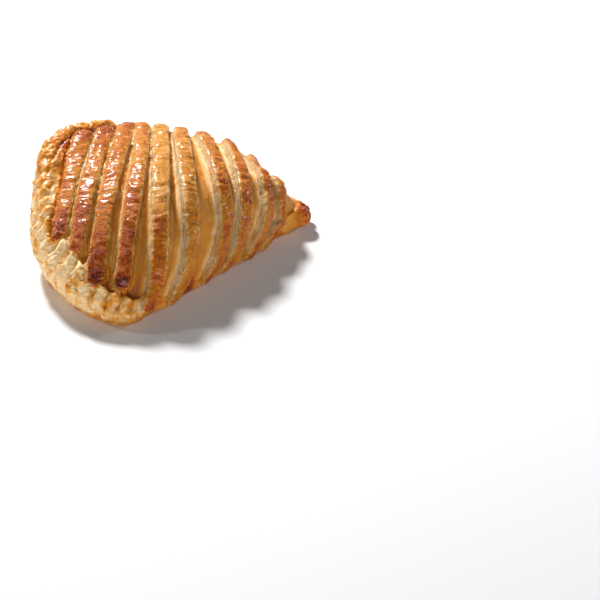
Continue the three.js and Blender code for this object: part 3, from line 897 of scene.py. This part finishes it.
class Nodes:
    """Short calls for making and joining the nodes of one material"""

    def __init__(self, name):
        self.material = bpy.data.materials.new(name)
        self.material.use_nodes = True
        self.tree = self.material.node_tree
        self.shader = self.tree.nodes["Principled BSDF"]

    def set(self, socket, value):
        if isinstance(value, bpy.types.NodeSocket):
            self.tree.links.new(value, socket)
        else:
            socket.default_value = value

    def uniform(self, **values):
        """Sets sockets of the shader, named with underscores for spaces"""
        for name, value in values.items():
            self.shader.inputs[name.replace("_", " ")].default_value = value

    def attribute(self, name, output="Fac"):
        node = self.tree.nodes.new("ShaderNodeAttribute")
        node.attribute_name = name
        return node.outputs[output]

    def blend(self, share, first, second):
        node = self.tree.nodes.new("ShaderNodeMix")
        node.data_type = "RGBA"
        self.set(node.inputs[0], share)
        self.set(node.inputs[6], first)
        self.set(node.inputs[7], second)
        return node.outputs[2]

    def math(self, operation, first, second=0.0, third=0.0):
        node = self.tree.nodes.new("ShaderNodeMath")
        node.operation = operation
        self.set(node.inputs[0], first)
        self.set(node.inputs[1], second)
        self.set(node.inputs[2], third)
        return node.outputs[0]

    def times(self, first, second):
        return self.math("MULTIPLY", first, second)

    def minus(self, first, second):
        return self.math("SUBTRACT", first, second)

    def range(self, value, low, high, to_low=0.0, to_high=1.0):
        node = self.tree.nodes.new("ShaderNodeMapRange")
        node.interpolation_type = "SMOOTHSTEP"
        for socket, number in zip(node.inputs[:5], (value, low, high, to_low, to_high)):
            self.set(socket, number)
        return node.outputs[0]

    def stretch(self, vector, scale):
        node = self.tree.nodes.new("ShaderNodeVectorMath")
        node.operation = "MULTIPLY"
        self.set(node.inputs[0], vector)
        node.inputs[1].default_value = scale
        return node.outputs[0]

    def position(self):
        return self.tree.nodes.new("ShaderNodeTexCoord").outputs["Object"]

    def noise(self, vector, scale, detail=3.0, distortion=0.0):
        node = self.tree.nodes.new("ShaderNodeTexNoise")
        self.set(node.inputs["Vector"], vector)
        node.inputs["Scale"].default_value = scale
        node.inputs["Detail"].default_value = detail
        node.inputs["Distortion"].default_value = distortion
        return node.outputs["Fac"]

    def ramp(self, value, stops):
        node = self.tree.nodes.new("ShaderNodeValToRGB")
        elements = node.color_ramp.elements
        while len(elements) < len(stops):
            elements.new(0.5)
        for element, (place, colour) in zip(elements, stops):
            element.position = place
            element.color = colour
        self.set(node.inputs[0], value)
        return node.outputs[0]

    def bump(self, height, strength, distance_mm, normal=None):
        node = self.tree.nodes.new("ShaderNodeBump")
        node.inputs["Strength"].default_value = strength
        node.inputs["Distance"].default_value = distance_mm * MM
        self.set(node.inputs["Height"], height)
        if normal is not None:
            self.set(node.inputs["Normal"], normal)
        return node.outputs["Normal"]


# Colours of baking from raw dough to burnt crust, the egg-yellow glaze, and the dull dough that also
# serves as painted shade in the grooves
BAKING_COLOURS = [
    (0.00, linear(251, 219, 168)),
    (0.14, linear(245, 197, 130)),
    (0.28, linear(233, 164, 74)),
    (0.44, linear(224, 146, 38)),
    (0.58, linear(214, 122, 16)),
    (0.72, linear(190, 87, 10)),
    (0.84, linear(152, 58, 9)),
    (0.94, linear(112, 40, 10)),
    (1.00, linear(78, 28, 11)),
]
YELLOW_GLAZE = linear(228, 152, 26)
SHADE_AND_DULL_DOUGH = linear(182, 127, 64)

# The skin's roughness, the share of glaze, and the lines of cracks and of layers
ROUGHNESS, ROUGHNESS_RANGE = 0.55, 0.2
GLAZE_WEIGHT = 0.3
CRACK_WIDTH = 0.03
SEAMS_PER_MM, SEAM_WANDER = 9.0, 9.0


def crust_material():
    """Baked dough: its tone runs from pale layers to brown skin, with a glaze on the bands"""
    nodes = Nodes("crust")
    place = nodes.position()
    band_space = nodes.attribute("band_space", "Vector")
    top, flank, wall_share = [nodes.attribute(name) for name in ("top", "flank", "wall")]
    beside_top = nodes.minus(nodes.minus(1.0, top), wall_share)

    speckle = nodes.noise(place, 900, 4)
    mottle = nodes.noise(place, 260, 4)
    ply = nodes.noise(nodes.stretch(place, (1.0, 1.0, 5.0)), 170, 4, 0.5)
    cracks = nodes.noise(nodes.stretch(band_space, (0.3, 1.0, 1.0)), 0.9, 4, 0.8)
    creping = nodes.noise(nodes.stretch(band_space, (0.4, 1.0, 1.0)), 1.7, 3, 1.0)
    streaks = nodes.noise(nodes.stretch(band_space, (1.4, 0.12, 1.0)), 1.0, 4, 0.3)
    streak_tone = nodes.times(nodes.minus(streaks, 0.5), beside_top)
    from_crack = nodes.math("ABSOLUTE", nodes.minus(cracks, 0.5))
    crack_lines = nodes.range(from_crack, 0.0, CRACK_WIDTH, 1.0, 0.0)
    wander = nodes.times(mottle, SEAM_WANDER)
    seam = nodes.math("SINE", nodes.math("MULTIPLY_ADD", nodes.attribute("up"), SEAMS_PER_MM, wander))

    # Browning, with painted light and shade worked in
    level = nodes.attribute("brown_and_painted_light")
    tones = [
        (nodes.minus(mottle, 0.5), 0.40),
        (nodes.times(nodes.minus(creping, 0.5), top), -0.4),
        (nodes.times(nodes.minus(creping, 0.28), nodes.attribute("shoulder")), -0.95),
        (nodes.minus(speckle, 0.5), 0.16),
        (nodes.times(crack_lines, top), -0.16),
        (nodes.times(seam, flank), 0.07),
        (streak_tone, 0.5),
        (nodes.times(nodes.minus(ply, 0.5), wall_share), 0.8),
        (nodes.times(nodes.minus(mottle, 0.5), wall_share), 0.4),
    ]
    for tone, amount in tones:
        level = nodes.math("MULTIPLY_ADD", tone, amount, level)
    colour = nodes.ramp(level, BAKING_COLOURS)
    colour = nodes.blend(nodes.attribute("yellow"), colour, YELLOW_GLAZE)
    # Painted shade in the grooves and a dull tone at the foot of the blunt corner
    colour = nodes.blend(nodes.attribute("groove_shade_and_dull"), colour, SHADE_AND_DULL_DOUGH)
    nodes.set(nodes.shader.inputs["Base Color"], colour)

    roughness = nodes.math("MULTIPLY_ADD", nodes.minus(speckle, 0.5), ROUGHNESS_RANGE, ROUGHNESS)
    nodes.set(nodes.shader.inputs["Roughness"], roughness)
    coat = nodes.times(nodes.attribute("glaze"), GLAZE_WEIGHT)
    nodes.set(nodes.shader.inputs["Coat Weight"], coat)
    nodes.uniform(Specular_IOR_Level=0.2, Coat_Roughness=0.21, Subsurface_Weight=0.08,
                  Subsurface_Radius=(1.0, 0.45, 0.2), Subsurface_Scale=2.0 * MM)

    layers = nodes.math("MULTIPLY_ADD", nodes.times(ply, 1.8), wall_share, nodes.times(seam, flank))
    bumps = [
        (nodes.times(nodes.math("ADD", creping, cracks), top), 0.9, 1.3),
        (layers, 0.7, 0.8),
        (mottle, 0.5, 0.8),
        (streak_tone, 0.5, 1.0),
        (speckle, 0.3, 0.3),
    ]
    normal = None
    for height, strength, distance_mm in bumps:
        normal = nodes.bump(height, strength, distance_mm, normal)
    nodes.set(nodes.shader.inputs["Normal"], normal)
    return nodes.material


pastry = build_pastry()
pastry.data.materials.clear()
pastry.data.materials.append(crust_material())
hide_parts("turnover")
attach(pastry, "root")


# Camera, floor and light

CAMERA_AZIMUTH, CAMERA_ELEVATION = -45.0, 35.0
CAMERA_DISTANCE = 1.1
CAMERA_LENS = 138.6
CAMERA_AIM = (16.886, -79.706, 0.0)
LIGHT_AIM_HEIGHT = 0.02
FLOOR_SIZE = 8
WORLD_STRENGTH = 0.05

# Lamps: (name, azimuth, elevation, distance in metres, size in metres, power)
LIGHTS = [
    ("key", 158, 40, 1.2, 0.22, 26),
    ("left", -143, 28, 1.4, 0.13, 3.4),
    ("front", -45, 5, 1.4, 0.8, 11),
    ("right", 62, 22, 1.2, 0.13, 3),
]


def direction(azimuth, elevation):
    """The way to a viewer: azimuth 0 stands at -Y, and 90 at +X"""
    a, e = math.radians(azimuth), math.radians(elevation)
    return Vector((math.sin(a) * math.cos(e), -math.cos(a) * math.cos(e), math.sin(e)))


def aim(piece, target, towards, distance):
    """Puts the piece that far from the target and turns it to the target"""
    piece.location = target + towards * distance
    piece.rotation_euler = towards.to_track_quat("Z", "Y").to_euler()


def add_camera():
    data = bpy.data.cameras.new("camera")
    data.lens = CAMERA_LENS
    camera = bpy.data.objects.new("camera", data)
    bpy.context.scene.collection.objects.link(camera)
    target = (Vector(CROWN_PLACE) + Vector(CAMERA_AIM)) * MM
    aim(camera, target, direction(CAMERA_AZIMUTH, CAMERA_ELEVATION), CAMERA_DISTANCE)
    bpy.context.scene.camera = camera


def add_light(name, azimuth, elevation, distance, size, power):
    data = bpy.data.lights.new(name, "AREA")
    data.shape = "DISK"
    data.size = size
    data.energy = power
    light = bpy.data.objects.new(name, data)
    bpy.context.scene.collection.objects.link(light)
    aim(light, Vector((0, 0, LIGHT_AIM_HEIGHT)), direction(azimuth, elevation), distance)


def add_floor():
    bpy.ops.mesh.primitive_plane_add(size=FLOOR_SIZE)
    floor = bpy.context.object
    floor.name = "floor"
    nodes = Nodes("floor")
    nodes.uniform(Base_Color=linear(246, 246, 246), Roughness=0.8)
    floor.data.materials.append(nodes.material)


def set_world():
    world = bpy.data.worlds.new("studio")
    world.use_nodes = True
    background = world.node_tree.nodes["Background"]
    background.inputs["Color"].default_value = (1.0, 1.0, 1.0, 1.0)
    background.inputs["Strength"].default_value = WORLD_STRENGTH
    bpy.context.scene.world = world


add_camera()
add_floor()
set_world()
for lamp in LIGHTS:
    add_light(*lamp)
bpy.context.scene.view_settings.view_transform = "Standard"
